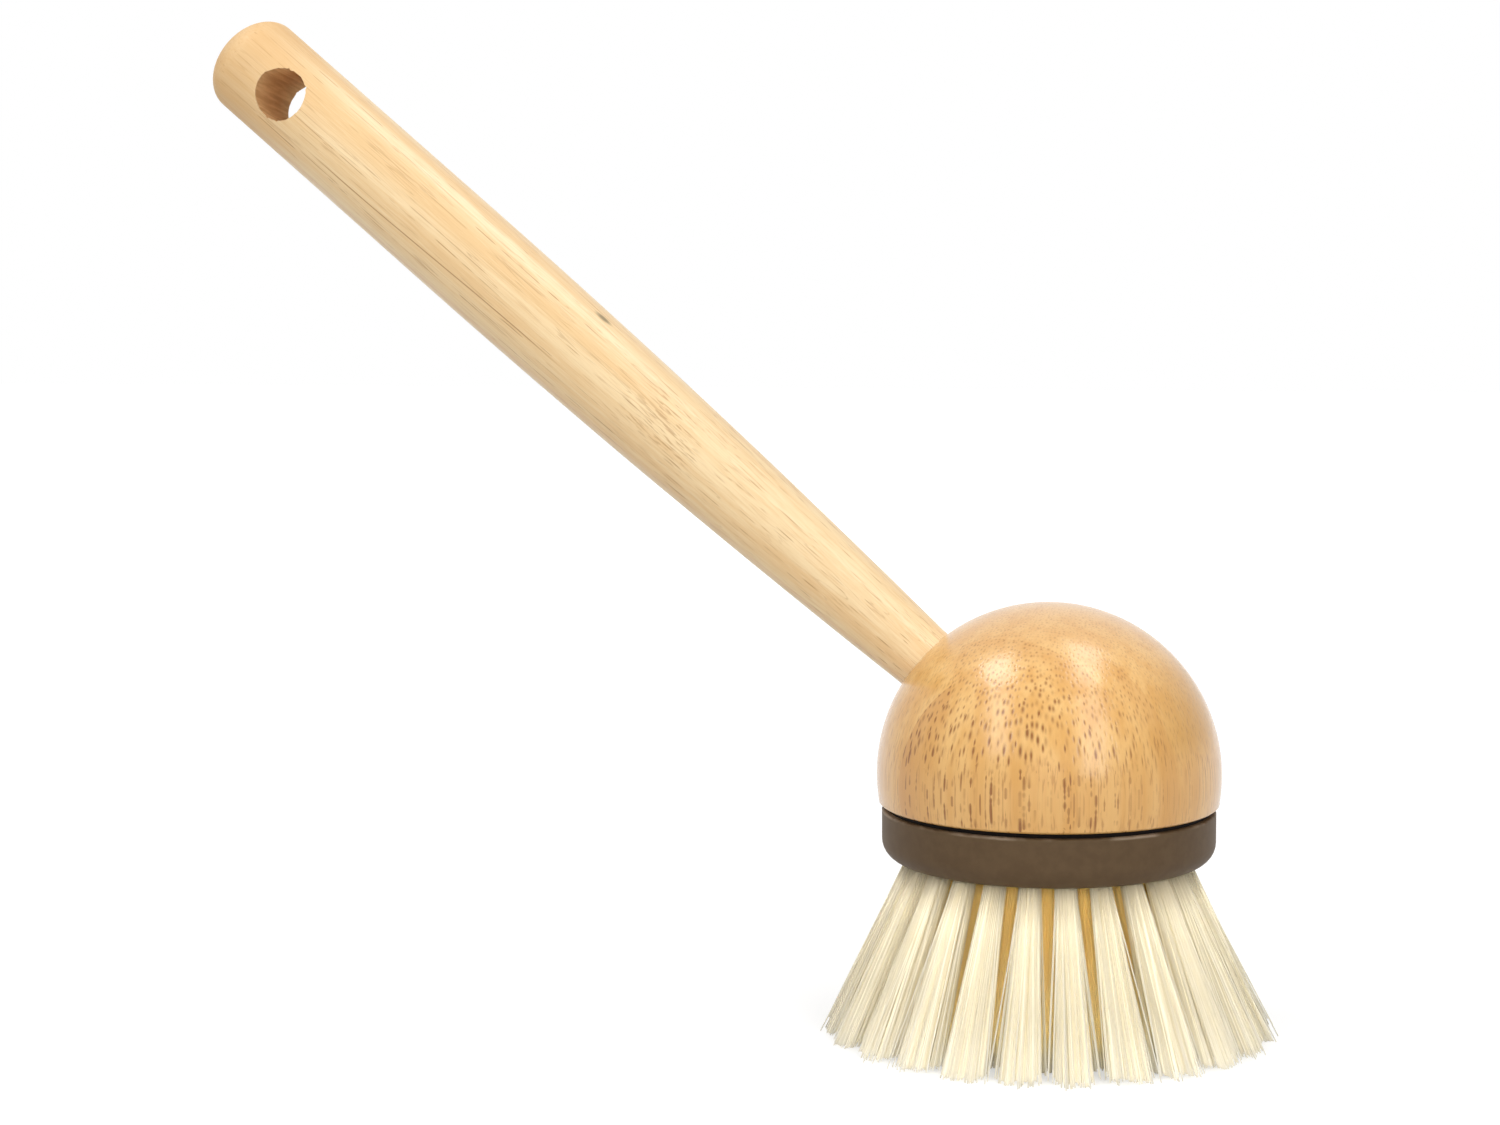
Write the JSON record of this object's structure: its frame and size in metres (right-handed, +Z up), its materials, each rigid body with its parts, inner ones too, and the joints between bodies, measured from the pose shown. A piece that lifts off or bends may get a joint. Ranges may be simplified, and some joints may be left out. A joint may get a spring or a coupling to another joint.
{
  "type": "dish brush",
  "caption": "Dish brush with a slanted turned handle in a round wooden dome head, over a screw-on plastic plate of flared, flat-trimmed bristle tufts.",
  "frame": {"origin": "on the head's axis at the flat trim of the bristle tips", "axes": "+Z up along the head's axis, the handle leans in the XZ plane towards -X"},
  "size_m": [0.1962, 0.0788, 0.1799],
  "materials": {
    "handle_bamboo": "fine-sanded pale bamboo, satin",
    "dome_bamboo": "lacquered caramel bamboo, satin gloss",
    "insert_plastic": "moulded, matte",
    "seal_rubber": "smooth black rubber",
    "plate_plastic": "moulded dark brown, matte",
    "bristle_fibre": "cream filaments, slightly translucent",
    "anchor_wire": "plain flat wire"
  },
  "bodies": {
    "handle_and_dome": {"handle": "handle_bamboo", "head_dome": "dome_bamboo", "threaded_insert": "insert_plastic"},
    "seal": {"sealing_ring": "seal_rubber"},
    "brush_head": {"brush_plate": "plate_plastic", "centre_tufts": "bristle_fibre", "inner_tufts": "bristle_fibre", "second_tufts": "bristle_fibre", "third_tufts": "bristle_fibre", "outer_tufts": "bristle_fibre", "centre_anchors": "anchor_wire", "inner_anchors": "anchor_wire", "second_anchors": "anchor_wire", "third_anchors": "anchor_wire", "outer_anchors": "anchor_wire"}
  },
  "joints": [
    {"name": "plate_travel", "type": "slide", "parent": "handle_and_dome", "child": "seal", "axis": [0, 0, -1], "range_m": [0, 0.00752]},
    {"name": "plate_turn", "type": "hinge", "parent": "seal", "child": "brush_head", "pos_m": [0, 0, 0.0397], "axis": [0, 0, -1], "range_deg": [0, 900]}
  ],
  "couplings": [
    {"joint": "plate_travel", "follows": "plate_turn", "m_per_rad": 0.00047746}
  ]
}
